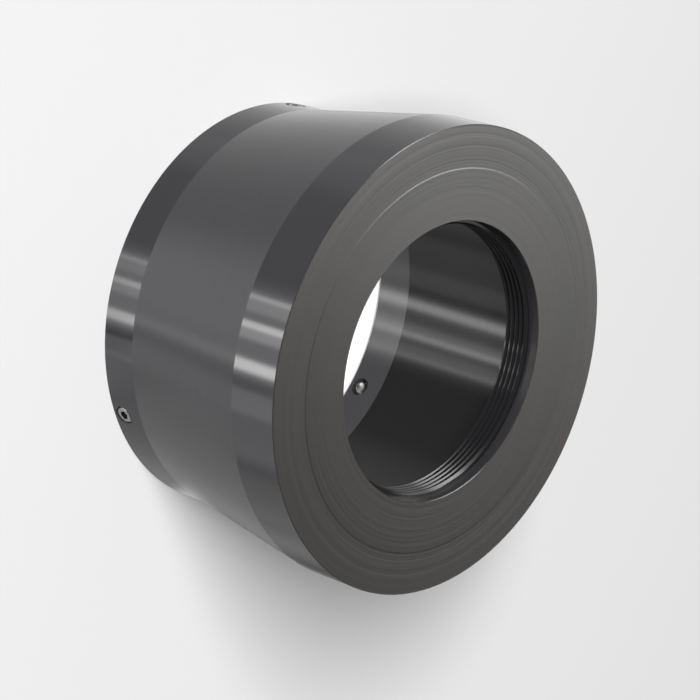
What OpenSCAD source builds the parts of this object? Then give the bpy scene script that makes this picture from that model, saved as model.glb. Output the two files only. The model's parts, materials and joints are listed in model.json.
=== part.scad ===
// Telescope focuser adapter: a turned ring that takes a drawtube in its rear socket and
// screws to an accessory thread at its front face. It stands on its rear rim, with the
// optical axis along +Z and the front face up.

/* [Turned body] */
// Length from the rear rim to the front face
body_l = 47.8; // [40:0.1:90]
// How far the cone rises from the rear band's radius to the front band's
cone_rise = 4.6; // [1:0.1:12]
// Length of the front band
front_band_l = 10; // [8:0.1:20]
// Length of the rear band
rear_band_l = 7.5; // [6:0.1:16]
// Chamfer on the two outside edges
edge_chamfer = 0.15; // [0.1:0.05:0.8]

/* [Tube socket] */
// Bore of the rear socket
socket_d = 68.58; // [60:0.01:72]
// Depth of the rear socket, up to the step at its end
socket_l = 8; // [6.5:0.1:14]
// Wall around the rear socket
rear_wall = 4.31; // [3.8:0.01:6]
// Step from the socket in to the bore behind it
shoulder_w = 0.36; // [0.36:0.01:4]
// Chamfer at the mouth of the socket
socket_chamfer = 0.1; // [0.1:0.05:0.6]

/* [Accessory thread] */
// Major diameter of the thread
thread_d = 50.8; // [42:0.1:54]
// Pitch of the thread
thread_pitch = 1.058; // [0.75:0.001:1.5]
// Thickness of the front flange, which is threaded right through
flange_t = 7.1; // [5:0.1:12]
// Diameter of the plain relief in front of the thread
relief_d = 51.8; // [51.2:0.1:60]
// Depth of that relief
relief_l = 2.1; // [1:0.1:3]
// Chamfer at the mouth of the relief
relief_chamfer = 0.1; // [0.1:0.05:0.8]
// Lead-in chamfer at the thread's front end
thread_chamfer = 0.4; // [0.2:0.05:0.6]
// Bearing at which the thread's groove starts
thread_from = 90; // [0:5:355]

/* [Set screws] */
// Diameter of a set screw
screw_d = 3.5; // [2.5:0.1:4]
// Height of the screws above the rear rim
screw_z = 2.64; // [2.4:0.01:4]
// Depth of a screw's outer end below the rear band
screw_sunk = 0.1; // [0:0.05:0.6]
// Depth of a screw's tip behind the socket wall at rest
tip_sunk = 0.06; // [0.06:0.01:0.3]
// Radial play of a screw in its hole
screw_play = 0.05; // [0.02:0.01:0.1]
// Chamfer where a screw hole meets the rear band
hole_chamfer = 0.2; // [0.1:0.05:0.3]
// Width across the flats of the key socket
key_w = 1.59; // [1.2:0.01:1.8]
// Depth of the key socket
key_l = 1.7; // [1:0.1:2]
// Diameter of the cup point's cutting edge
cup_d = 1.9; // [1.4:0.1:2.2]
// Depth of the cup
cup_l = 0.5; // [0.3:0.05:0.8]
// Width of the flat edge around the cup
cup_edge = 0.12; // [0.05:0.01:0.2]
// Chamfer on a screw's outer end
screw_chamfer = 0.25; // [0.1:0.05:0.4]

/* [Hidden] */
NODES = ["adapter_body", "set_screw_1", "set_screw_2", "set_screw_3"];
$fn = 180;
// Number of set screws around the socket: every node but the body is one
screw_count = len(NODES) - 1;
// How far a cutting shape runs past the surface that it cuts
overrun = 1;
// Sides of the key socket
key_sides = 6;
// How much further each key socket is turned than the one before it
key_turn = 17;
// Bearing of the first screw about the optical axis
first_screw_at = 90;

socket_r = socket_d / 2;
rear_r = socket_r + rear_wall;
front_r = rear_r + cone_rise;
bore_r = socket_r - shoulder_w;
relief_r = relief_d / 2;
flange_z = body_l - flange_t;
relief_z = body_l - relief_l;

// Angle between a flank of the thread and the plane across its axis
flank_angle = 30;
// Flats at the root and at the crest of the thread, as shares of the pitch
root_share = 1 / 8;
crest_share = 1 / 4;
thread_r = thread_d / 2;
thread_depth = thread_pitch * (1 - root_share - crest_share) / 2 / tan(flank_angle);
thread_minor_r = thread_r - thread_depth;
// How far the groove's cutting shape reaches in past the crest, where half of the crest's
// flat is left between one turn of it and the next
groove_lap = thread_pitch * crest_share / 4 / tan(flank_angle);
// Steps of the thread's helix in one turn
thread_steps = 48;
// Turns of the groove: those in the flange, and one more past each end of it
thread_turns = ceil((relief_z - flange_z) / thread_pitch) + 2;
thread_start_z = flange_z - thread_pitch;

screw_r = screw_d / 2;
hole_r = screw_r + screw_play;
cup_r = cup_d / 2;
screw_l = rear_wall - screw_sunk - tip_sunk;
tip_at = socket_r + tip_sunk;
// A forty-five degree point, as long as the step in from the thread to the cutting edge
point_l = screw_r - cup_r;

// Half section of the turned body, to the right of the optical axis
module body_section() {
    polygon([
        [socket_r + socket_chamfer, 0],
        [rear_r - edge_chamfer, 0],
        [rear_r, edge_chamfer],
        [rear_r, rear_band_l],
        [front_r, body_l - front_band_l],
        [front_r, body_l - edge_chamfer],
        [front_r - edge_chamfer, body_l],
        [relief_r + relief_chamfer, body_l],
        [relief_r, body_l - relief_chamfer],
        [relief_r, relief_z],
        [thread_minor_r + thread_chamfer, relief_z],
        [thread_minor_r, relief_z - thread_chamfer],
        [thread_minor_r, flange_z],
        [bore_r, flange_z],
        [bore_r, socket_l],
        [socket_r, socket_l],
        [socket_r, socket_chamfer],
    ]);
}

// Corners of the groove's section, as radius and height: the root, then the lap at the crest
groove_section = [
    [thread_r, -thread_pitch * root_share / 2],
    [thread_r, thread_pitch * root_share / 2],
    [thread_minor_r - groove_lap, thread_pitch * (1 - crest_share / 2) / 2],
    [thread_minor_r - groove_lap, -thread_pitch * (1 - crest_share / 2) / 2],
];

// That section at one step of the right-hand helix
function groove_ring(step) =
    let (angle = step * 360 / thread_steps, z = thread_start_z + step * thread_pitch / thread_steps)
        [for (corner = groove_section) [corner[0] * cos(angle), corner[0] * sin(angle), z + corner[1]]];

// The thread's groove, a closed band of triangles swept up the helix
module thread_groove() {
    steps = thread_steps * thread_turns;
    sides = len(groove_section);
    points = [for (step = [0 : steps]) each groove_ring(step)];
    walls = [
        for (step = [0 : steps - 1], side = [0 : sides - 1])
            let (a = step * sides + side, b = step * sides + (side + 1) % sides)
                each [[a, b, b + sides], [a, b + sides, a + sides]]
    ];
    foot = [for (side = [sides - 1 : -1 : 0]) side];
    head = [for (side = [0 : sides - 1]) steps * sides + side];
    polyhedron(points, concat(walls, [foot, head]));
}

// Puts what lies along +X at the bearing and height of one set screw
module at_screw(number) {
    rotate([0, 0, first_screw_at + number * 360 / screw_count])
        translate([0, 0, screw_z])
            children();
}

// One radial screw hole, with the chamfer at its outer end
module screw_hole() {
    translate([socket_r - overrun, 0, 0])
        rotate([0, 90, 0])
            cylinder(r = hole_r, h = rear_wall + 2 * overrun);
    translate([rear_r - hole_chamfer, 0, 0])
        rotate([0, 90, 0])
            cylinder(r1 = hole_r, r2 = hole_r + hole_chamfer + overrun, h = hole_chamfer + overrun);
}

module adapter_body() {
    color("#2c2c30")
        difference() {
            rotate_extrude()
                body_section();
            rotate([0, 0, thread_from])
                thread_groove();
            for (number = [0 : screw_count - 1])
                at_screw(number)
                    screw_hole();
        }
}

// Half section of a set screw, with its cup point at the bottom
module screw_section() {
    polygon([
        [0, cup_l],
        [cup_r - cup_edge, 0],
        [cup_r, 0],
        [screw_r, point_l],
        [screw_r, screw_l - screw_chamfer],
        [screw_r - screw_chamfer, screw_l],
        [0, screw_l],
    ]);
}

// One set screw: a cup point that bears on the tube, and a key socket in its outer end
module set_screw(number) {
    color("#c4c6c8")
        at_screw(number)
            translate([tip_at, 0, 0])
                rotate([0, 90, 0])
                    difference() {
                        rotate_extrude()
                            screw_section();
                        translate([0, 0, screw_l - key_l])
                            rotate([0, 0, number * key_turn])
                                cylinder(d = key_w / cos(180 / key_sides), h = key_l + overrun, $fn = key_sides);
                    }
}

adapter_body();
set_screw(0);  // set_screw_1
set_screw(1);  // set_screw_2
set_screw(2);  // set_screw_3
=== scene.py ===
"""The looks of a turned focuser adapter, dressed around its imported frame.

The adapter stands on its rear rim, with the optical axis along +Z. The camera is rolled
about its own axis, so that the picture shows the adapter lying on its side.
"""

import json
import logging
import math
from dataclasses import dataclass, field, fields
from enum import Enum
from typing import Any

import bmesh
import bpy
from mathutils import Matrix, Quaternion, Vector


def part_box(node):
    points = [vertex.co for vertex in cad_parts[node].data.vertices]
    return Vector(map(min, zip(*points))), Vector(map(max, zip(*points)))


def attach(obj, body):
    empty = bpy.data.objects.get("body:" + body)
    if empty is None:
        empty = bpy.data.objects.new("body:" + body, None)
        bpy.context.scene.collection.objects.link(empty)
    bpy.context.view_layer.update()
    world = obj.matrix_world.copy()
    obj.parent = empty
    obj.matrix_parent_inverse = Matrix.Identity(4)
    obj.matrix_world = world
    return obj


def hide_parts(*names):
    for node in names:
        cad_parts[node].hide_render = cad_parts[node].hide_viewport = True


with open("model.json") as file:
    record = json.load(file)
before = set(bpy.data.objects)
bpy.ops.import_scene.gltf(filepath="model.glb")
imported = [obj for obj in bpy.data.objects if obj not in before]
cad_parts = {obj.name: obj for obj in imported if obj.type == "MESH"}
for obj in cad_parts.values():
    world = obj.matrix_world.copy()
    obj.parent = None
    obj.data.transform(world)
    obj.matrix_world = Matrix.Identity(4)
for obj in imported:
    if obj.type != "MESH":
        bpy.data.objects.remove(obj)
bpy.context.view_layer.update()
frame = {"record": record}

MM = 0.001
FULL_TURN = 2 * math.pi
# Points closer than this are one point, and edges shorter than this are removed
SEAM = 0.001 * MM
SLIVER = 0.0001 * MM
# How much further each key socket is turned than the one before it
KEY_TURN = math.radians(17)
# How much slower the slow turning marks change than the fine ones
SLOW_PACE = 0.13

log = logging.getLogger("adapter")


class Zone(Enum):
    """The differently finished surfaces of the turned body; the bore's and the socket's tones also hold
    painted shade and painted light.
    """

    FACE = "turned_face"
    BAND = "polished_band"
    CONE = "satin_cone"
    BORE = "bore_wall_painted_shade"
    SOCKET = "socket_wall_painted_light"
    THREAD = "cut_thread"
    RELIEF = "relief_wall"


class Graph:
    """A node tree under construction."""

    def __init__(self, tree: bpy.types.NodeTree) -> None:
        """Starts on an existing tree and clears it.

        Args:
            tree: The tree that gets the nodes.
        """
        self.tree = tree
        self.tree.nodes.clear()

    def node(self, kind: str, inputs: dict[Any, Any] | None = None, **settings: Any) -> bpy.types.Node:
        """Adds one node.

        Args:
            kind: The node's type name.
            inputs: Values or sockets for its inputs, by name or number.
            settings: Properties to set on the node before its inputs.

        Returns:
            The new node.
        """
        node = self.tree.nodes.new(kind)
        for name, value in settings.items():
            setattr(node, name, value)
        for key, value in (inputs or {}).items():
            self.feed(node.inputs[key], value)
        return node

    def feed(self, socket: bpy.types.NodeSocket, value: Any) -> None:
        """Links a socket to an input, or sets the input's own value."""
        if isinstance(value, bpy.types.NodeSocket):
            self.tree.links.new(value, socket)
        else:
            socket.default_value = value

    def math(self, operation: str, *values: Any) -> bpy.types.NodeSocket:
        """Adds a Math node.

        Args:
            operation: The Math node's operation.
            values: Its operands, as numbers or sockets.

        Returns:
            The result's socket.
        """
        return self.node("ShaderNodeMath", dict(enumerate(values)), operation=operation).outputs[0]

    def add(self, first: Any, second: Any) -> bpy.types.NodeSocket:
        """Adds a Math node that gives a sum."""
        return self.math("ADD", first, second)

    def sub(self, first: Any, second: Any) -> bpy.types.NodeSocket:
        """Adds a Math node that gives a difference."""
        return self.math("SUBTRACT", first, second)

    def mul(self, first: Any, second: Any) -> bpy.types.NodeSocket:
        """Adds a Math node that gives a product."""
        return self.math("MULTIPLY", first, second)

    def vector(self, operation: str, *values: Any) -> bpy.types.Node:
        """Adds a Vector Math node and returns it."""
        return self.node("ShaderNodeVectorMath", dict(enumerate(values)), operation=operation)

    def remap(self, value: Any, low: Any, high: Any, to_low: Any, to_high: Any) -> bpy.types.NodeSocket:
        """Adds a clamped linear Map Range node and returns its result."""
        limits = dict(enumerate((value, low, high, to_low, to_high)))
        return self.node("ShaderNodeMapRange", limits, clamp=True).outputs[0]

    def soft(self, value: Any, inner: float, outer: float) -> bpy.types.NodeSocket:
        """Adds a mask that is 1 up to an inner limit and falls smoothly to 0 at an outer one."""
        node = self.node("ShaderNodeMapRange", {
            "Value": value, "From Min": inner, "From Max": outer, "To Min": 1.0, "To Max": 0.0,
        }, interpolation_type="SMOOTHSTEP")
        return node.outputs[0]

    def aside(self, bearing: bpy.types.NodeSocket, middle: float) -> bpy.types.NodeSocket:
        """How far a bearing lies from a middle one, which is given in degrees."""
        off = self.sub(bearing, math.radians(middle))
        return self.math("ABSOLUTE", self.math("WRAP", off, math.pi, -math.pi))

    def position(self) -> Any:
        """The three sockets of each point's position."""
        place = self.node("GeometryNodeInputPosition").outputs[0]
        return self.node("ShaderNodeSeparateXYZ", {0: place}).outputs

    def moved(self, mesh: bpy.types.NodeSocket, x: Any, y: Any, z: Any = 0.0) -> bpy.types.NodeSocket:
        """Moves each point to the place given, and returns the mesh."""
        spot = self.node("ShaderNodeCombineXYZ", {"X": x, "Y": y, "Z": z}).outputs[0]
        return self.node("GeometryNodeSetPosition", {"Geometry": mesh, "Position": spot}).outputs[0]

    def around(self, mesh: bpy.types.NodeSocket, radius: Any, turn: Any, z: Any) -> bpy.types.NodeSocket:
        """Moves each point to a radius, a share of a turn and a height, and returns the mesh."""
        angle = self.mul(turn, FULL_TURN)
        x, y = (self.mul(radius, self.math(wave, angle)) for wave in ("COSINE", "SINE"))
        return self.moved(mesh, x, y, z)

    def group_input(self, sockets: dict[str, tuple[str, Any]]) -> bpy.types.Node:
        """Gives the tree its named inputs.

        Args:
            sockets: Each input's socket type and default value, by name.

        Returns:
            The Group Input node.
        """
        for name, (kind, default) in sockets.items():
            socket = self.tree.interface.new_socket(name=name, in_out="INPUT", socket_type=kind)
            if default is not None:
                socket.default_value = default
        return self.node("NodeGroupInput")

    def group_output(self, sockets: dict[str, tuple[str, bpy.types.NodeSocket]]) -> None:
        """Gives the tree its named outputs.

        Args:
            sockets: Each output's socket type and the socket that feeds it, by name.
        """
        for name, (kind, _) in sockets.items():
            self.tree.interface.new_socket(name=name, in_out="OUTPUT", socket_type=kind)
        self.node("NodeGroupOutput", {name: source for name, (_, source) in sockets.items()})


GEOMETRY = "NodeSocketGeometry"
NUMBER = "NodeSocketFloat"
WHOLE = "NodeSocketInt"
VECTOR = "NodeSocketVector"
MATERIAL = "NodeSocketMaterial"


def label(name: str) -> str:
    """The tree input that takes the value of that name."""
    return name.replace("_", " ").title()


@dataclass
class Thread:
    """A sixty-degree thread around the Z axis, inside a hole or outside a shaft.

    Each end has a forty-five degree chamfer and a ring that the surface runs on to.
    """

    low: float
    high: float
    groove_radius: float
    crest_radius: float
    pitch: float
    low_ring: float
    high_ring: float
    low_chamfer: float = 0.0
    high_chamfer: float = 0.0
    start_turn: float = 0.0
    groove_flat: float = 1 / 8
    crest_flat: float = 1 / 4

    def inputs(self) -> dict[str, float]:
        """The thread's sizes under the names of the tree's inputs."""
        return {label(size.name): getattr(self, size.name) for size in fields(self)}


class TurningTrees:
    """The Geometry Nodes trees that turn an outline, cut its thread and drill its holes."""

    CHAMFER_ROWS = 9
    ROWS_A_TURN = 4
    MERGE_AT = 0.0015 * MM
    # How many ring widths the rings of the face drift by, and how quickly
    DRIFT = 3.0
    DRIFT_SCALE = 0.7
    # Depth of the innermost rings, as a share of those outside the scribed line
    INNER_RINGS = 0.4
    # Widths of the scribed line over which the face comes back to its height
    LINE_FADE = 30.0
    KEY_SIDES = 6
    KEY_DRILL_SIDES = 32
    # How much of the drilled cone lies below the key socket's floor
    KEY_DRILL_SUNK = 0.99

    CORE_INPUTS = {
        "Outline": (GEOMETRY, None), "Segments": (WHOLE, 64),
        **{label(size.name): (NUMBER, 0.0) for size in fields(Thread)},
    }

    def __init__(self) -> None:
        """Builds the trees once, for every turned piece."""
        self.core = self._core()
        self.drilled = self._drilled()
        self.keyed = self._keyed()

    def _flats(self, g: Graph, size: Any) -> tuple[bpy.types.NodeSocket, bpy.types.NodeSocket]:
        """Where the root's flat ends and where the crest's starts, as shares of the pitch."""
        return g.mul(size["Groove Flat"], 0.5), g.mul(g.sub(1.0, size["Crest Flat"]), 0.5)

    def _grid(self, g: Graph, columns: Any, rows: Any) -> tuple[bpy.types.NodeSocket, ...]:
        """A grid of that many steps, with each point's share of the way across it and up it."""
        grid = g.node("GeometryNodeMeshGrid", {
            "Size X": 1.0, "Size Y": 1.0, "Vertices X": g.add(columns, 1.0), "Vertices Y": g.add(rows, 1.0),
        })
        place = g.position()
        return grid.outputs["Mesh"], g.add(place["X"], 0.5), g.add(place["Y"], 0.5)

    def _thread_radius(self, g: Graph, sizes: bpy.types.Node, turn: Any, z: Any) -> bpy.types.NodeSocket:
        """The radius of the threaded surface at one place.

        Args:
            g: The tree.
            sizes: The Group Input node that holds the thread's sizes.
            turn: The place around the axis, as a share of a turn.
            z: The place along the axis.

        Returns:
            The radius, chamfers included.
        """
        size = sizes.outputs
        along = g.math("DIVIDE", g.sub(z, size["Low"]), size["Pitch"])
        phase = g.add(g.sub(along, turn), size["Start Turn"])
        wrapped = g.math("FRACT", g.add(phase, 0.5))
        off_centre = g.math("ABSOLUTE", g.sub(wrapped, 0.5))
        radius = g.remap(off_centre, *self._flats(g, size), size["Groove Radius"], size["Crest Radius"])
        side = g.math("SIGN", g.sub(size["Groove Radius"], size["Crest Radius"]))
        crest = g.mul(side, size["Crest Radius"])
        to_low = g.sub(z, size["Low"])
        to_high = g.sub(size["High"], z)
        low_cone = g.sub(g.add(crest, size["Low Chamfer"]), to_low)
        high_cone = g.sub(g.add(crest, size["High Chamfer"]), to_high)
        cut = g.math("MAXIMUM", g.mul(side, radius), g.math("MAXIMUM", low_cone, high_cone))
        return g.mul(side, cut)

    def _threaded_sleeve(self, g: Graph, sizes: bpy.types.Node) -> bpy.types.NodeSocket:
        """A grid wrapped around the axis, whose rows follow the thread's helix.

        Args:
            g: The tree.
            sizes: The Group Input node.

        Returns:
            The wrapped grid.
        """
        size = sizes.outputs
        length = g.sub(size["High"], size["Low"])
        turns = g.math("CEIL", g.math("DIVIDE", length, size["Pitch"]))
        helix_rows = g.mul(g.add(turns, 3.0), float(self.ROWS_A_TURN))
        last_row = g.add(helix_rows, 2.0 * self.CHAMFER_ROWS + 1.0)
        mesh, turn, share = self._grid(g, size["Segments"], last_row)
        row = g.math("ROUND", g.mul(share, last_row))

        low_edge = g.add(size["Low"], size["Low Chamfer"])
        high_edge = g.sub(size["High"], size["High Chamfer"])
        step = float(self.CHAMFER_ROWS - 1)
        low_part = g.remap(row, 1.0, 1.0 + step, size["Low"], low_edge)
        first_high = g.add(helix_rows, 1.0 + self.CHAMFER_ROWS)
        last_high = g.add(first_high, step)
        high_part = g.remap(row, first_high, last_high, high_edge, size["High"])

        helix_row = g.sub(row, 1.0 + self.CHAMFER_ROWS)
        whole = g.math("FLOOR", g.math("DIVIDE", helix_row, float(self.ROWS_A_TURN)))
        corner = g.sub(helix_row, g.mul(whole, float(self.ROWS_A_TURN)))
        root_edge, crest_edge = self._flats(g, size)
        phase = g.node("GeometryNodeIndexSwitch", data_type="FLOAT")
        while len(phase.index_switch_items) < self.ROWS_A_TURN:
            phase.index_switch_items.new()
        g.feed(phase.inputs["Index"], corner)
        corners = (g.mul(root_edge, -1.0), root_edge, crest_edge, g.sub(1.0, crest_edge))
        for number, value in enumerate(corners):
            g.feed(phase.inputs[str(number)], value)
        turned = g.sub(g.add(g.add(phase.outputs[0], whole), turn), size["Start Turn"])
        climb = g.mul(g.sub(turned, 1.0), size["Pitch"])
        helix = g.math("MINIMUM", g.math("MAXIMUM", g.add(size["Low"], climb), low_edge), high_edge)
        z = g.add(g.add(low_part, g.sub(helix, low_edge)), g.sub(high_part, high_edge))

        radius = self._thread_radius(g, sizes, turn, z)
        ends = (
            (g.math("LESS_THAN", row, 0.5), size["Low Ring"]),
            (g.math("GREATER_THAN", row, g.sub(last_row, 0.5)), size["High Ring"]),
        )
        for is_end, ring in ends:
            radius = g.node("GeometryNodeSwitch", {"Switch": is_end, "False": radius, "True": ring},
                            input_type="FLOAT").outputs[0]
        return g.around(mesh, radius, turn, z)

    def _core(self) -> bpy.types.NodeTree:
        """The group that turns an open outline and joins its two ends with a threaded sleeve."""
        g = Graph(bpy.data.node_groups.new("turned_surface", "GeometryNodeTree"))
        sizes = g.group_input(self.CORE_INPUTS)
        size = sizes.outputs
        curve = g.node("GeometryNodeMeshToCurve", {"Mesh": size["Outline"]}).outputs[0]
        place = g.position()
        profile = g.moved(curve, g.sub(place["X"], size["Crest Radius"]), g.mul(place["Z"], -1.0))
        rail = g.node("GeometryNodeCurvePrimitiveCircle",
                      {"Resolution": size["Segments"], "Radius": size["Crest Radius"]}, mode="RADIUS")
        turned = g.node("GeometryNodeCurveToMesh",
                        {"Curve": rail.outputs["Curve"], "Profile Curve": profile}).outputs[0]
        join = g.node("GeometryNodeJoinGeometry")
        g.feed(join.inputs[0], turned)
        g.feed(join.inputs[0], self._threaded_sleeve(g, sizes))
        g.group_output({"Geometry": (GEOMETRY, join.outputs[0])})
        return g.tree

    def _ringed_face(self, g: Graph, sizes: bpy.types.Node) -> bpy.types.NodeSocket:
        """A flat ring around the axis, with the rings that a facing tool leaves.

        Args:
            g: The tree.
            sizes: The Group Input node.

        Returns:
            The ring, whose first and last rows are flat.
        """
        size = sizes.outputs
        mesh, turn, share = self._grid(g, size["Segments"], size["Face Rows"])
        radius = g.node("ShaderNodeMapRange", {
            "Value": share, "To Min": size["Face Outer"], "To Max": size["Face Inner"],
        }).outputs[0]
        in_feeds = g.math("DIVIDE", radius, size["Ring Feed"])
        drift = g.node("ShaderNodeTexNoise", {
            "W": g.add(in_feeds, size["Seed"]), "Scale": self.DRIFT_SCALE,
        }, noise_dimensions="1D")
        passes = g.add(in_feeds, g.mul(drift.outputs[0], self.DRIFT))
        each = g.node("ShaderNodeTexWhiteNoise", {"W": g.math("FLOOR", passes)}, noise_dimensions="1D")
        outwards = g.remap(radius, size["Smooth Radius"], size["Line Radius"], self.INNER_RINGS, 1.0)
        strength = g.mul(each.outputs["Value"], outwards)
        lip = g.sub(1.0, g.math("FRACT", passes))
        ring = g.mul(g.mul(lip, strength), size["Ring Depth"])
        past_line = g.sub(radius, size["Line Radius"])
        drop = g.remap(past_line, 0.0, size["Line Width"], 0.0, 1.0)
        fade = g.mul(size["Line Width"], self.LINE_FADE)
        regained = g.remap(past_line, size["Line Width"], fade, 1.0, 0.0)
        line = g.mul(g.math("MINIMUM", drop, regained), size["Line Depth"])
        to_edge = g.math("MINIMUM", share, g.sub(1.0, share))
        inside = g.math("GREATER_THAN", g.mul(to_edge, size["Face Rows"]), 0.5)
        depth = g.mul(g.add(ring, line), inside)
        return g.around(mesh, radius, turn, g.sub(size["Face Height"], depth))

    def _with_core(self, name: str, extra: dict[str, tuple[str, Any]]) -> tuple[Graph, bpy.types.Node, Any]:
        """Starts a tree that holds the core group.

        Args:
            name: The tree's name.
            extra: Inputs past those of the core.

        Returns:
            The tree, its Group Input node and the turned surface.
        """
        g = Graph(bpy.data.node_groups.new(name, "GeometryNodeTree"))
        sizes = g.group_input({**self.CORE_INPUTS, **extra, "Material": (MATERIAL, None)})
        given = {key: sizes.outputs[key] for key in self.CORE_INPUTS}
        core = g.node("GeometryNodeGroup", given, node_tree=self.core)
        return g, sizes, core.outputs[0]

    def _finish(self, g: Graph, sizes: bpy.types.Node, body: Any, cutter: Any) -> bpy.types.NodeTree:
        """Cuts a body, and ends its tree.

        Args:
            g: The tree.
            sizes: Its Group Input node.
            body: The surface to cut, with its parts not yet merged.
            cutter: The cutting shapes.

        Returns:
            The tree.
        """
        whole = g.node("GeometryNodeMergeByDistance", {"Geometry": body, "Distance": self.MERGE_AT})
        cut = g.node("GeometryNodeMeshBoolean", {"Mesh 1": whole.outputs[0], "Mesh 2": cutter},
                     operation="DIFFERENCE", solver="EXACT")
        real = g.node("GeometryNodeRealizeInstances", {"Geometry": cut.outputs["Mesh"]}).outputs[0]
        finish = sizes.outputs["Material"]
        dressed = g.node("GeometryNodeSetMaterial", {"Geometry": real, "Material": finish})
        g.group_output({"Geometry": (GEOMETRY, dressed.outputs[0])})
        return g.tree

    def _drilled(self) -> bpy.types.NodeTree:
        """The tree of a turned piece with radial holes spaced around it."""
        names = ("Hole Radius", "Hole Chamfer", "Hole From", "Hole To", "Hole Height", "Overrun",
                 "Face Height", "Face Inner", "Face Outer", "Ring Feed", "Ring Depth", "Smooth Radius",
                 "Line Radius", "Line Width", "Line Depth", "Seed")
        g, sizes, turned = self._with_core("turned_and_drilled", {
            "Holes": (WHOLE, 3), "First Hole": (NUMBER, 0.0), "Hole Sides": (WHOLE, 48),
            "Face Rows": (WHOLE, 110), **{name: (NUMBER, 0.0) for name in names},
        })
        size = sizes.outputs
        parts = g.node("GeometryNodeJoinGeometry")
        g.feed(parts.inputs[0], turned)
        g.feed(parts.inputs[0], self._ringed_face(g, sizes))
        body = parts.outputs[0]
        drill = g.node("GeometryNodeMeshCylinder", {
            "Vertices": size["Hole Sides"], "Side Segments": 2, "Radius": 1.0, "Depth": 2.0,
        })
        place = g.position()
        rise = g.mul(g.math("MAXIMUM", place["Z"], 0.0), g.add(size["Hole Chamfer"], size["Overrun"]))
        sink_from = g.sub(size["Hole To"], size["Hole Chamfer"])
        sunk = g.mul(g.math("MINIMUM", place["Z"], 0.0), g.sub(sink_from, size["Hole From"]))
        radius = g.add(size["Hole Radius"], rise)
        tool = g.moved(drill.outputs["Mesh"], g.add(sink_from, g.add(sunk, rise)),
                       g.mul(place["X"], radius), g.mul(place["Y"], radius))
        bearings = g.node("GeometryNodeMeshLine", {
            "Count": size["Holes"], "Offset": (0.0, 0.0, 0.0),
            "Start Location": g.node("ShaderNodeCombineXYZ", {"Z": size["Hole Height"]}).outputs[0],
        })
        share = g.math("DIVIDE", g.node("GeometryNodeInputIndex").outputs[0], size["Holes"])
        bearing = g.add(g.mul(share, FULL_TURN), size["First Hole"])
        holes = g.node("GeometryNodeInstanceOnPoints", {
            "Points": bearings.outputs[0], "Instance": tool,
            "Rotation": g.node("ShaderNodeCombineXYZ", {"Z": bearing}).outputs[0],
        })
        cutters = g.node("GeometryNodeRealizeInstances", {"Geometry": holes.outputs[0]}).outputs[0]
        return self._finish(g, sizes, body, cutters)

    def _keyed(self) -> bpy.types.NodeTree:
        """The tree of a turned piece with a hex key socket in its upper end."""
        names = ("Key Width", "Key Depth", "Key Bearing", "Key Drill", "Overrun")
        g, sizes, body = self._with_core("turned_and_keyed", {name: (NUMBER, 0.0) for name in names})
        size = sizes.outputs
        across_corners = g.math("DIVIDE", size["Key Width"], math.cos(FULL_TURN / (2 * self.KEY_SIDES)))
        depth = g.add(size["Key Depth"], size["Overrun"])
        hexagon = g.node("GeometryNodeMeshCylinder", {
            "Vertices": self.KEY_SIDES, "Radius": g.mul(across_corners, 0.5), "Depth": depth,
        })
        floor = g.sub(size["High"], size["Key Depth"])
        middle = g.add(floor, g.mul(depth, 0.5))
        hexagon_at = g.node("GeometryNodeTransform", {
            "Geometry": hexagon.outputs["Mesh"],
            "Translation": g.node("ShaderNodeCombineXYZ", {"Z": middle}).outputs[0],
            "Rotation": g.node("ShaderNodeCombineXYZ", {"Z": size["Key Bearing"]}).outputs[0],
        })
        drill_rise = g.mul(size["Key Width"], 0.5)
        drill = g.node("GeometryNodeMeshCone", {
            "Vertices": self.KEY_DRILL_SIDES, "Radius Top": drill_rise, "Radius Bottom": 0.0,
            "Depth": size["Key Drill"],
        })
        drill_at = g.node("GeometryNodeTransform", {
            "Geometry": drill.outputs["Mesh"],
            "Translation": g.node("ShaderNodeCombineXYZ", {
                "Z": g.sub(floor, g.mul(size["Key Drill"], self.KEY_DRILL_SUNK)),
            }).outputs[0],
        })
        tool = g.node("GeometryNodeMeshBoolean", operation="UNION", solver="EXACT")
        g.feed(tool.inputs["Mesh 2"], hexagon_at.outputs[0])
        g.feed(tool.inputs["Mesh 2"], drill_at.outputs[0])
        return self._finish(g, sizes, body, tool.outputs["Mesh"])


def outline_object(name: str, *stretches: list[tuple[float, float]]) -> bpy.types.Object:
    """Makes the open outline that a turned piece is made from.

    Args:
        name: The object's name.
        stretches: The outline's stretches, each with the radius and height of its corners.

    Returns:
        A mesh object of edges in the XZ plane.
    """
    corners: list[tuple[float, float, float]] = []
    edges: list[tuple[int, int]] = []
    for stretch in stretches:
        first = len(corners)
        corners += [(radius, 0.0, height) for radius, height in stretch]
        edges += [(i, i + 1) for i in range(first, len(corners) - 1)]
    mesh = bpy.data.meshes.new(name)
    mesh.from_pydata(corners, edges, [])
    piece = bpy.data.objects.new(name, mesh)
    bpy.context.scene.collection.objects.link(piece)
    return piece


def run_tree(piece: bpy.types.Object, tree: bpy.types.NodeTree, values: dict[str, Any]) -> None:
    """Runs a Geometry Nodes tree on an object and keeps its result as a plain mesh.

    Args:
        piece: The object whose mesh goes in and is replaced.
        tree: The tree.
        values: The tree's inputs, by name.
    """
    modifier = piece.modifiers.new(tree.name, "NODES")
    modifier.node_group = tree
    for item in tree.interface.items_tree:
        if item.in_out == "INPUT" and item.name in values:
            modifier[item.identifier] = values[item.name]
    bpy.context.view_layer.update()
    evaluated = piece.evaluated_get(bpy.context.evaluated_depsgraph_get())
    mesh = bpy.data.meshes.new_from_object(evaluated)
    piece.modifiers.remove(modifier)
    old = piece.data
    piece.data = mesh
    mesh.name = piece.name
    bpy.data.meshes.remove(old)


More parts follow.
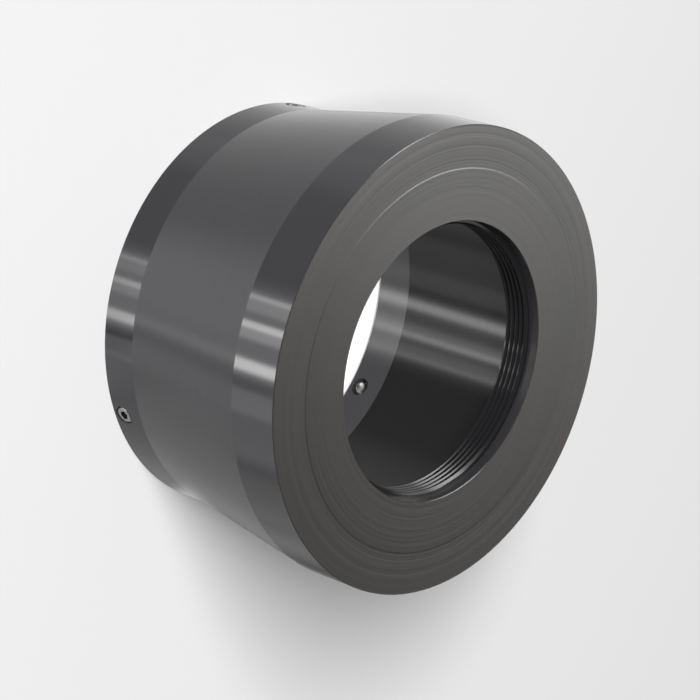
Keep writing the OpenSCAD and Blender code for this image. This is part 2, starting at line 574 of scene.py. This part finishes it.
def settle(piece: bpy.types.Object, place: Matrix, crease: float) -> None:
    """Turns a closed mesh right side out, puts it in place and smooths it between its edges.

    Args:
        piece: The object, which stays at the origin.
        place: Where the mesh goes.
        crease: The angle past which an edge stays sharp.
    """
    work = bmesh.new()
    work.from_mesh(piece.data)
    work.transform(place)
    bmesh.ops.remove_doubles(work, verts=work.verts, dist=SEAM)
    bmesh.ops.dissolve_degenerate(work, edges=work.edges, dist=SLIVER)
    bmesh.ops.recalc_face_normals(work, faces=work.faces)
    open_edges = sum(1 for edge in work.edges if not edge.is_manifold)
    work.to_mesh(piece.data)
    work.free()
    piece.data.shade_smooth()
    piece.data.set_sharp_from_angle(angle=crease)
    log.info("%s: %d faces, %d open edges", piece.name, len(piece.data.polygons), open_edges)


def mount(name: str) -> dict[str, Any]:
    """The record's mount of that name."""
    return next(entry for entry in frame["record"]["mounts"] if entry["name"] == name)


@dataclass
class TurnedBody:
    """The adapter's one-piece body: bands, cone, threaded flange, bore and socket."""

    node: str = "adapter_body"
    body: str = "adapter"
    slot: str = "black_anodised_aluminium"
    segments: int = 384
    front_band: float = 10.0 * MM
    rear_band: float = 7.5 * MM
    rear_wall: float = 4.31 * MM
    edge_chamfer: float = 0.15 * MM
    socket_chamfer: float = 0.1 * MM
    socket_depth: float = 8.0 * MM
    shoulder: float = 0.36 * MM
    flange: float = 7.1 * MM
    relief_radius: float = 25.9 * MM
    relief_depth: float = 2.1 * MM
    relief_chamfer: float = 0.1 * MM
    thread_radius: float = 25.4 * MM
    thread_pitch: float = 1.058 * MM
    thread_chamfer: float = 0.4 * MM
    hole_radius: float = 1.8 * MM
    hole_chamfer: float = 0.2 * MM
    hole_height: float = 2.64 * MM
    holes: int = 3
    first_hole: float = FULL_TURN / 4
    thread_start: float = 0.25
    face_rows: int = 150
    ring_feed: float = 0.65 * MM
    ring_depth: float = 0.010 * MM
    smooth_radius: float = 27.0 * MM
    line_radius: float = 35.3 * MM
    line_width: float = 0.17 * MM
    line_depth: float = 0.042 * MM
    seed: float = 7.0
    overrun: float = 1.0 * MM
    crease: float = math.radians(8)

    def __post_init__(self) -> None:
        """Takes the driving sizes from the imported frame."""
        low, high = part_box(self.node)
        self.length = high.z
        self.front_radius = high.x
        self.socket_radius = mount("tube_socket")["dims"]["r_mm"] * MM
        self.minor_radius = mount("accessory_thread")["dims"]["r_mm"] * MM
        self.rear_radius = self.socket_radius + self.rear_wall
        self.bore_radius = self.socket_radius - self.shoulder
        self.flange_at = self.length - self.flange
        self.relief_at = self.length - self.relief_depth

    @property
    def face_inner(self) -> float:
        """Radius of the face's inner edge."""
        return self.relief_radius + self.relief_chamfer

    @property
    def face_outer(self) -> float:
        """Radius of the face's outer edge."""
        return self.front_radius - self.edge_chamfer

    def mouth(self) -> list[tuple[float, float]]:
        """The half section of the relief, from its floor to the face."""
        return [
            (self.relief_radius, self.relief_at),
            (self.relief_radius, self.length - self.relief_chamfer),
            (self.face_inner, self.length),
        ]

    def outside(self) -> list[tuple[float, float]]:
        """The half section from the face round the outside and the bore to the flange's back."""
        return [
            (self.face_outer, self.length),
            (self.front_radius, self.length - self.edge_chamfer),
            (self.front_radius, self.length - self.front_band),
            (self.rear_radius, self.rear_band),
            (self.rear_radius, self.edge_chamfer),
            (self.rear_radius - self.edge_chamfer, 0.0),
            (self.socket_radius + self.socket_chamfer, 0.0),
            (self.socket_radius, self.socket_chamfer),
            (self.socket_radius, self.socket_depth),
            (self.bore_radius, self.socket_depth),
            (self.bore_radius, self.flange_at),
        ]

    def thread(self) -> Thread:
        """The accessory thread through the front flange."""
        return Thread(
            low=self.flange_at,
            high=self.relief_at,
            groove_radius=self.thread_radius,
            crest_radius=self.minor_radius,
            pitch=self.thread_pitch,
            low_ring=self.bore_radius,
            high_ring=self.relief_radius,
            high_chamfer=self.thread_chamfer,
            start_turn=self.thread_start,
        )

    def zone_of(self, centre: Vector, normal: Vector) -> Zone:
        """Which finish one face of the body has.

        Args:
            centre: The face's centre.
            normal: Its outward normal.

        Returns:
            Its zone.
        """
        radius = math.hypot(centre.x, centre.y)
        outward = (normal.x * centre.x + normal.y * centre.y) / radius
        margin = 0.01 * MM
        if centre.z > self.length - self.edge_chamfer - margin and radius > self.relief_radius + margin:
            return Zone.FACE
        if radius < self.relief_radius + margin:
            return Zone.RELIEF if centre.z > self.relief_at + margin else Zone.THREAD
        if outward > 0.5 and radius > self.socket_radius + self.rear_wall / 2:
            on_band = centre.z > self.length - self.front_band or centre.z < self.rear_band
            return Zone.BAND if on_band else Zone.CONE
        if centre.z < self.socket_depth - margin:
            return Zone.SOCKET
        return Zone.BORE

    def build(self, trees: TurningTrees, finishes: dict[Zone, bpy.types.Material]) -> bpy.types.Object:
        """Makes the body in place of its plain solid.

        Args:
            trees: The turning trees.
            finishes: The material of each zone.

        Returns:
            The finished piece.
        """
        piece = outline_object("turned_body", self.mouth(), self.outside())
        own = (
            "segments", "face_rows", "face_inner", "face_outer", "ring_feed", "ring_depth", "smooth_radius",
            "line_radius", "line_width", "line_depth", "seed", "holes", "first_hole", "hole_radius",
            "hole_chamfer", "hole_height", "overrun",
        )
        run_tree(piece, trees.drilled, {
            **self.thread().inputs(),
            **{label(name): getattr(self, name) for name in own},
            "Face Height": self.length,
            "Hole From": self.socket_radius - self.overrun,
            "Hole To": self.rear_radius,
            "Material": finishes[Zone.FACE],
        })
        settle(piece, Matrix.Identity(4), self.crease)
        zones = list(Zone)
        piece.data.materials.clear()
        for zone in zones:
            piece.data.materials.append(finishes[zone])
        for face in piece.data.polygons:
            face.material_index = zones.index(self.zone_of(face.center, face.normal))
        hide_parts(self.node)
        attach(piece, self.body)
        return piece


@dataclass
class SetScrew:
    """One stainless set screw, with a cup point, a thread and a hex key socket."""

    number: int
    bearing: float
    key_bearing: float
    slot: str = "stainless_steel"
    segments: int = 96
    radius: float = 1.75 * MM
    pitch: float = 0.794 * MM
    thread_depth: float = 0.43 * MM
    height: float = 2.64 * MM
    chamfer: float = 0.25 * MM
    cup_radius: float = 0.95 * MM
    cup_edge: float = 0.12 * MM
    cup_depth: float = 0.5 * MM
    key_width: float = 1.59 * MM
    key_depth: float = 1.7 * MM
    key_drill: float = 0.25 * MM
    length: float = 4.15 * MM
    tip_at: float = 34.35 * MM
    overrun: float = 1.0 * MM
    crease: float = math.radians(25)

    @property
    def node(self) -> str:
        """The CAD node that the screw stands for."""
        return f"set_screw_{self.number}"

    def outline(self) -> list[tuple[float, float]]:
        """The cup and the outer end, as the two flat ends that the thread's sleeve joins."""
        return [
            (self.cup_radius, 0.0),
            (self.cup_radius - self.cup_edge, 0.0),
            (0.0, self.cup_depth),
        ]

    def thread(self) -> Thread:
        """The screw's own thread, which runs out at the point and at the outer chamfer."""
        return Thread(
            low=0.0,
            high=self.length,
            groove_radius=self.radius - self.thread_depth,
            crest_radius=self.radius,
            pitch=self.pitch,
            low_ring=self.cup_radius,
            high_ring=0.0,
            low_chamfer=self.radius - self.cup_radius,
            high_chamfer=self.chamfer,
            groove_flat=1 / 4,
            crest_flat=1 / 8,
        )

    def place(self) -> Matrix:
        """Where the screw lies: its tip inwards, along its own bearing."""
        outwards = Matrix.Rotation(FULL_TURN / 4, 4, "Y")
        shift = Matrix.Translation((self.tip_at, 0.0, self.height))
        return Matrix.Rotation(self.bearing, 4, "Z") @ shift @ outwards

    def build(self, trees: TurningTrees, steel: bpy.types.Material) -> bpy.types.Object:
        """Makes the screw in place of its plain solid.

        Args:
            trees: The turning trees.
            steel: Its material.

        Returns:
            The finished piece.
        """
        piece = outline_object(f"threaded_{self.node}", self.outline())
        own = ("segments", "key_width", "key_depth", "key_drill", "key_bearing", "overrun")
        run_tree(piece, trees.keyed, {
            **self.thread().inputs(),
            **{label(name): getattr(self, name) for name in own},
            "Material": steel,
        })
        settle(piece, self.place(), self.crease)
        piece.data.materials.clear()
        piece.data.materials.append(steel)
        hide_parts(self.node)
        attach(piece, f"screw_{self.number}")
        return piece


def turning_group() -> bpy.types.NodeTree:
    """The shared effect of a lathe tool: fine rings, uneven in depth, across a turned surface.

    Returns:
        A shader group that turns a place along the tool's travel into a height and a tone.
    """
    g = Graph(bpy.data.node_groups.new("turning_marks", "ShaderNodeTree"))
    given = g.group_input({
        "Place": (VECTOR, (0.0, 0.0, 0.0)),
        "Radial Share": (NUMBER, 1.0),
        "Axial Share": (NUMBER, 0.0),
        "Feed": (NUMBER, 0.2),
    }).outputs
    axes = g.node("ShaderNodeSeparateXYZ", {0: given["Place"]}).outputs
    radius = g.math("SQRT", g.add(g.math("POWER", axes["X"], 2.0), g.math("POWER", axes["Y"], 2.0)))
    along = g.add(g.mul(radius, given["Radial Share"]), g.mul(axes["Z"], given["Axial Share"]))
    in_feeds = g.math("DIVIDE", g.mul(along, 1.0 / MM), given["Feed"])
    fine, slow = (
        g.node("ShaderNodeTexNoise", {"W": w, "Scale": 1.0, "Detail": detail},
               noise_dimensions="1D").outputs[0]
        for w, detail in ((in_feeds, 2.0), (g.mul(in_feeds, SLOW_PACE), 3.0))
    )
    g.group_output({"Height": (NUMBER, g.add(fine, slow)), "Fine": (NUMBER, fine), "Slow": (NUMBER, slow)})
    return g.tree


@dataclass(frozen=True)
class AnodisedFinish:
    """Black anodised aluminium as one tool left it; in the bore and the socket its tone also holds painted
    shade and painted light.
    """

    zone: Zone
    tone: tuple[float, float, float]
    roughness: float
    radial_share: float = 0.0
    axial_share: float = 1.0
    feed: float = 0.5
    depth: float = 0.0
    stretch: float = 0.4
    tone_swing: float = 0.02
    level: float = 0.5

    def material(self, marks: bpy.types.NodeTree) -> bpy.types.Material:
        """Builds the finish.

        Args:
            marks: The shared group of turning marks.

        Returns:
            The material.
        """
        material = bpy.data.materials.new(self.zone.value)
        material.use_nodes = True
        g = Graph(material.node_tree)
        place = g.node("ShaderNodeTexCoord").outputs["Object"]
        rings = g.node("ShaderNodeGroup", {
            "Place": place, "Radial Share": self.radial_share, "Axial Share": self.axial_share,
            "Feed": self.feed,
        }, node_tree=marks)
        tone = g.node("ShaderNodeMix", {
            "Factor": g.remap(rings.outputs["Slow"], 0.35, 0.65, 0.0, 1.0),
        }, data_type="RGBA")
        for socket, swing in (("A", -self.tone_swing), ("B", self.tone_swing)):
            colour = tuple(channel * (1 + swing) for channel in self.tone) + (1.0,)
            next(s for s in tone.inputs if s.name == socket and s.type == "RGBA").default_value = colour
        blurred = g.remap(rings.outputs["Fine"], 0.3, 0.7, self.roughness * 0.9, self.roughness * 1.1)
        bump = g.node("ShaderNodeBump", {"Height": rings.outputs["Height"], "Strength": 1.0,
                                         "Distance": self.depth * MM})
        around = g.vector("CROSS_PRODUCT", (0.0, 0.0, 1.0), place)
        normal = g.node("ShaderNodeNewGeometry").outputs["Normal"]
        across = g.vector("CROSS_PRODUCT", normal, around.outputs[0])
        surface = g.node("ShaderNodeBsdfPrincipled", {
            "Base Color": next(s for s in tone.outputs if s.type == "RGBA"),
            "Roughness": blurred,
            "IOR": 1.6,
            "Specular IOR Level": self.level,
            "Anisotropic": self.stretch,
            "Tangent": g.vector("NORMALIZE", across.outputs[0]).outputs[0],
            "Normal": bump.outputs[0],
        })
        g.node("ShaderNodeOutputMaterial", {"Surface": surface.outputs[0]})
        return material


@dataclass(frozen=True)
class SteelFinish:
    """Bright stainless steel, a little uneven from the anvil and the key."""

    name: str = "bright_stainless"
    tone: tuple[float, float, float] = (0.46, 0.45, 0.44)
    roughness: float = 0.36
    grain: float = 2.2

    def material(self) -> bpy.types.Material:
        """Builds the finish and returns the material."""
        material = bpy.data.materials.new(self.name)
        material.use_nodes = True
        g = Graph(material.node_tree)
        place = g.node("ShaderNodeTexCoord").outputs["Object"]
        in_mm = g.vector("SCALE", place)
        in_mm.inputs["Scale"].default_value = 1.0 / MM
        cloud = g.node("ShaderNodeTexNoise",
                       {"Vector": in_mm.outputs[0], "Scale": self.grain, "Detail": 4.0})
        rough = g.remap(cloud.outputs[0], 0.3, 0.7, self.roughness * 0.75, self.roughness * 1.4)
        bump = g.node("ShaderNodeBump", {"Height": cloud.outputs[0], "Strength": 1.0, "Distance": 0.01 * MM})
        surface = g.node("ShaderNodeBsdfPrincipled", {
            "Base Color": self.tone + (1.0,), "Metallic": 1.0, "Roughness": rough, "Normal": bump.outputs[0],
        })
        g.node("ShaderNodeOutputMaterial", {"Surface": surface.outputs[0]})
        return material


def anodised_finishes() -> dict[Zone, bpy.types.Material]:
    """Builds the anodised finish of every zone of the body.

    Returns:
        Each zone's material.
    """
    marks = turning_group()
    finishes = (
        AnodisedFinish(Zone.FACE, (0.030, 0.028, 0.0265), roughness=0.24, radial_share=1.0, axial_share=0.0,
                       feed=0.8, depth=0.003, stretch=0.3, tone_swing=0.08),
        AnodisedFinish(Zone.BAND, (0.022, 0.022, 0.025), roughness=0.09),
        AnodisedFinish(Zone.CONE, (0.034, 0.034, 0.037), roughness=0.21),
        # Painted shade: the bore wall is much darker and reflects less than the rest of the body, for the
        # shade inside the bore
        AnodisedFinish(Zone.BORE, (0.0065, 0.0065, 0.007), roughness=0.15, stretch=0.5, level=0.25),
        # Painted light: the socket wall, at the rear opening, is lighter than the rest of the body, for the
        # light that comes in there
        AnodisedFinish(Zone.SOCKET, (0.042, 0.042, 0.045), roughness=0.2, level=0.42),
        AnodisedFinish(Zone.THREAD, (0.012, 0.012, 0.013), roughness=0.14, feed=0.1, stretch=0.2,
                       tone_swing=0.03, level=0.2),
        AnodisedFinish(Zone.RELIEF, (0.028, 0.028, 0.030), roughness=0.3, feed=0.3, stretch=0.3,
                       tone_swing=0.03, level=0.3),
    )
    return {finish.zone: finish.material(marks) for finish in finishes}


def towards(bearing: float, elevation: float) -> Vector:
    """The direction at a bearing and an elevation."""
    level = math.cos(elevation)
    return Vector((level * math.cos(bearing), level * math.sin(bearing), math.sin(elevation)))


@dataclass
class PhotoCamera:
    """The photograph's view, fitted to its circles, in the adapter's own frame."""

    face_height: float
    distance: float = 508.5 * MM
    azimuth: float = math.radians(166.2)
    elevation: float = math.radians(38.85)
    lens_mm: float = 146.2
    sensor_mm: float = 36.0
    screw_bearing: float = math.radians(-2.4)
    right: Vector = field(default_factory=lambda: Vector((0.6709, 0.1718, 0.7214)))
    up: Vector = field(default_factory=lambda: Vector((0.0, 0.9728, -0.2316)))

    def build(self) -> bpy.types.Object:
        """Makes the camera and gives it to the scene.

        Returns:
            The camera.
        """
        data = bpy.data.cameras.new("photo_camera")
        data.lens = self.lens_mm
        data.sensor_width = self.sensor_mm
        data.clip_start = 0.01
        camera = bpy.data.objects.new("photo_camera", data)
        bpy.context.scene.collection.objects.link(camera)
        turn = Matrix.Rotation(self.screw_bearing, 3, "Z")
        right = (turn @ self.right).normalized()
        back = right.cross(turn @ self.up).normalized()
        up = back.cross(right)
        at = Vector((0.0, 0.0, self.face_height)) + towards(self.azimuth, self.elevation) * self.distance
        axes = Matrix((right, up, back)).transposed().to_4x4()
        camera.matrix_world = Matrix.Translation(at) @ axes
        bpy.context.scene.camera = camera
        return camera


@dataclass(frozen=True)
class Panel:
    """A soft panel of the studio that only reflections show, placed by degrees."""

    bearing: float
    half_width: float
    edge: float
    strength: float
    elevation: float = -45.0
    half_height: float = 35.0
    height_edge: float = 10.0

    def light(self, g: Graph, bearing: Any, elevation: Any) -> bpy.types.NodeSocket:
        """What the panel adds in one direction.

        Args:
            g: The world's tree.
            bearing: The direction's bearing.
            elevation: Its height above the horizon.

        Returns:
            The panel's strength there, falling off softly past its edges.
        """
        aside = g.aside(bearing, self.bearing)
        above = g.math("ABSOLUTE", g.sub(elevation, math.radians(self.elevation)))
        limits = ((aside, self.half_width, self.edge), (above, self.half_height, self.height_edge))
        masks = [g.soft(off, math.radians(inner), math.radians(inner + edge)) for off, inner, edge in limits]
        return g.mul(g.mul(masks[0], masks[1]), self.strength)


# Bearing, half width, edge and strength, then elevation, half height and edge where they differ
PANEL_ROWS = (
    (5, 5, 105, 0.5),
    (5, 15, 20, 0.12),
    (88, 6, 14, 0.15, -30, 16, 6),
    (266, 8, 14, 0.18, -30, 16, 6),
    (184, 30, 34, 0.5, -75, 20, 7),
    (209, 3, 5, -0.65, -68, 12, 6),
    (201.8, 0.6, 1.4, 2.2, -64, 10, 5),
    (212, 4, 5, -0.75, -50, 4, 3),
    (195.5, 1.5, 3.5, -0.4, -68, 12, 6),
    (190, 28, 4, 0.55, -30, 16, 6),
    (201, 39, 10, 0.45, -30, 16, 6),
    (332, 8, 33, -0.62, -28, 20, 6),
    (163.2, 0.6, 1.2, 2.4, -26, 15.5, 7),
    (166.6, 2.4, 3, 1.3, -26, 15.5, 7),
    (176.6, 0.8, 1.6, 6, -26, 15.5, 7),
    (180.6, 1.4, 3, 1.9, -26, 15.5, 7),
    (196.1, 1.3, 3.2, 6.1, -26, 16.5, 6.5),
    (205, 1.5, 3, -0.75, -38, 14, 5),
    (38, 38, 20, 2.8, 44, 12, 12),
    (14, 7, 8, 6, 46, 7, 6),
    (64, 14, 10, 6, 36, 13, 10),
    (46, 5, 8, 7, 47, 5, 6),
)


@dataclass(frozen=True)
class Sector:
    """A sector of the floor outside the bore, placed by degrees and by its distance from the axis."""

    bearing: float
    half_width: float
    edge: float
    reach: float
    end: float

    def mask(self, g: Graph, bore: float) -> bpy.types.NodeSocket:
        """Where the sector is, with soft edges.

        Args:
            g: The floor material's tree.
            bore: The radius inside which there is none of it.

        Returns:
            The mask, full up to the sector's reach and gone at its end.
        """
        place = g.node("ShaderNodeTexCoord").outputs["Object"]
        axes = g.node("ShaderNodeSeparateXYZ", {0: place}).outputs
        aside = g.aside(g.math("ARCTAN2", axes["Y"], axes["X"]), self.bearing)
        around = g.soft(aside, math.radians(self.half_width), math.radians(self.half_width + self.edge))
        distance = g.vector("LENGTH", place).outputs["Value"]
        outside = g.math("GREATER_THAN", distance, bore)
        return g.mul(g.mul(around, outside), g.soft(distance, self.reach, self.end))


@dataclass
class Studio:
    """Floor, lamp and the reflected surroundings."""

    floor_size: float = 6.0
    floor_tone: float = 0.80
    # Painted light: the floor inside the bore glows for the camera, so it shows white where the body shades
    # it
    painted_bore_glow: float = 0.62
    bore_radius: float = 34.0 * MM
    room: float = 0.08
    backdrop: float = 0.9
    below: float = 0.42
    above: float = 0.12
    horizon: float = math.radians(12)
    # Painted shade: the darker floor colour that only reflections see, standing in for shadow on the floor
    shaded_mirror_tone: float = 0.54
    # Painted light: a patch of floor beside the rim glows in reflections only, standing in for lit floor
    # there
    lit: Sector = Sector(257.0, 5.0, 9.0, 41.0 * MM, 46.0 * MM)
    painted_patch_glow: float = 0.35
    mirrored: Sector = Sector(255.0, 45.0, 15.0, 58.0 * MM, 72.0 * MM)
    key_bearing: float = math.radians(151.2)
    key_elevation: float = math.radians(44.2)
    key_roll: float = math.radians(24.9)
    key_distance: float = 3.0
    key_width: float = 2.07
    key_height: float = 0.5
    key_power: float = 137.0
    panels: tuple[Panel, ...] = tuple(Panel(*row) for row in PANEL_ROWS)

    def _painted_floor_light(self, g: Graph) -> bpy.types.NodeSocket:
        """The floor's painted light: a glow inside the bore that the camera sees, and a painted lit patch
        beside the rim that only reflections see.
        """
        place = g.node("ShaderNodeTexCoord").outputs["Object"]
        distance = g.vector("LENGTH", place).outputs["Value"]
        # Painted light: camera rays see the floor under the bore glowing, which lifts its shade
        under = g.mul(g.math("LESS_THAN", distance, self.bore_radius), self.painted_bore_glow)
        # Painted light: the patch beside the rim that glows for glossy rays
        side = self.lit.mask(g, self.bore_radius)
        path = g.node("ShaderNodeLightPath").outputs
        return g.add(g.mul(path["Is Camera Ray"], under),
                     g.mul(path["Is Glossy Ray"], g.mul(side, self.painted_patch_glow)))

    def _open_to_reflections(self, g: Graph) -> bpy.types.NodeSocket:
        """Where reflections look past the floor at the panels: all but one sector near the rim."""
        glossy = g.node("ShaderNodeLightPath").outputs["Is Glossy Ray"]
        return g.mul(glossy, g.sub(1.0, self.mirrored.mask(g, self.bore_radius)))

    def floor(self) -> None:
        """Lays the pale floor, with painted light inside the bore and beside the rim, and painted shade
        where reflections see it.
        """
        half = self.floor_size / 2
        mesh = bpy.data.meshes.new("studio_floor")
        corners = [(-half, -half, 0), (half, -half, 0), (half, half, 0), (-half, half, 0)]
        mesh.from_pydata(corners, [], [(0, 1, 2, 3)])
        floor = bpy.data.objects.new("studio_floor", mesh)
        bpy.context.scene.collection.objects.link(floor)
        material = bpy.data.materials.new("pale_floor")
        material.use_nodes = True
        g = Graph(material.node_tree)
        # Painted shade: glossy rays see the floor in a darker colour than the camera does
        tone = g.node("ShaderNodeMapRange", {
            "Value": g.node("ShaderNodeLightPath").outputs["Is Glossy Ray"],
            "To Min": self.floor_tone, "To Max": self.shaded_mirror_tone,
        })
        paint = g.node("ShaderNodeBsdfDiffuse", {"Color": tone.outputs[0]})
        glow = g.node("ShaderNodeEmission", {"Color": (1.0, 1.0, 1.0, 1.0), "Strength": self._painted_floor_light(g)})
        seen = g.node("ShaderNodeAddShader", {0: paint.outputs[0], 1: glow.outputs[0]})
        past = g.node("ShaderNodeBsdfTransparent")
        both = g.node("ShaderNodeMixShader", {
            0: self._open_to_reflections(g), 1: seen.outputs[0], 2: past.outputs[0],
        })
        g.node("ShaderNodeOutputMaterial", {"Surface": both.outputs[0]})
        mesh.materials.append(material)

    def world(self) -> None:
        """Surrounds the scene with a pale room, and the metal with the panels that it reflects."""
        world = bpy.data.worlds.new("studio")
        bpy.context.scene.world = world
        world.use_nodes = True
        world.cycles.sampling_method = "NONE"
        g = Graph(world.node_tree)
        way = g.node("ShaderNodeSeparateXYZ", {0: g.node("ShaderNodeTexCoord").outputs["Generated"]}).outputs
        bearing = g.math("ARCTAN2", way["Y"], way["X"])
        elevation = g.math("ARCSINE", way["Z"])
        light: Any = g.remap(elevation, -self.horizon, self.horizon, self.below, self.above)
        for panel in self.panels:
            light = g.add(light, panel.light(g, bearing, elevation))
        path = g.node("ShaderNodeLightPath").outputs
        looked_at = g.math("MAXIMUM", path["Is Camera Ray"], path["Is Transmission Ray"])
        tones = {"Value": looked_at, "To Min": self.room, "To Max": self.backdrop}
        pale = g.node("ShaderNodeMapRange", tones)
        white = (1.0, 1.0, 1.0, 1.0)
        reflected = g.node("ShaderNodeBackground", {"Color": white, "Strength": light})
        plain = g.node("ShaderNodeBackground", {"Color": white, "Strength": pale.outputs[0]})
        chosen = g.node("ShaderNodeMixShader", {
            0: path["Is Glossy Ray"], 1: plain.outputs[0], 2: reflected.outputs[0],
        })
        g.node("ShaderNodeOutputWorld", {"Surface": chosen.outputs[0]})

    def key(self) -> None:
        """Hangs the one soft lamp, which throws the shadow on the floor."""
        data = bpy.data.lights.new("key_lamp", "AREA")
        data.shape = "RECTANGLE"
        data.size = self.key_width
        data.size_y = self.key_height
        data.energy = self.key_power
        lamp = bpy.data.objects.new("key_lamp", data)
        bpy.context.scene.collection.objects.link(lamp)
        way = towards(self.key_bearing, self.key_elevation)
        lamp.location = way * self.key_distance
        roll = Quaternion((0.0, 0.0, 1.0), self.key_roll)
        lamp.rotation_euler = (way.to_track_quat("Z", "Y") @ roll).to_euler()
        lamp.visible_glossy = False

    def build(self) -> None:
        """Builds the whole studio."""
        self.floor()
        self.world()
        self.key()
        bpy.context.scene.view_settings.view_transform = "Standard"


def main() -> None:
    """Builds the adapter and its studio."""
    logging.basicConfig(level=logging.INFO, format="%(name)s: %(message)s", force=True)
    trees = TurningTrees()
    body = TurnedBody()
    body.build(trees, anodised_finishes())
    steel = SteelFinish().material()
    for index in range(body.holes):
        screw = SetScrew(
            number=index + 1,
            bearing=body.first_hole + index * FULL_TURN / body.holes,
            key_bearing=index * KEY_TURN,
        )
        screw.build(trees, steel)
    PhotoCamera(face_height=body.length).build()
    Studio().build()


if __name__ == "__main__":
    main()
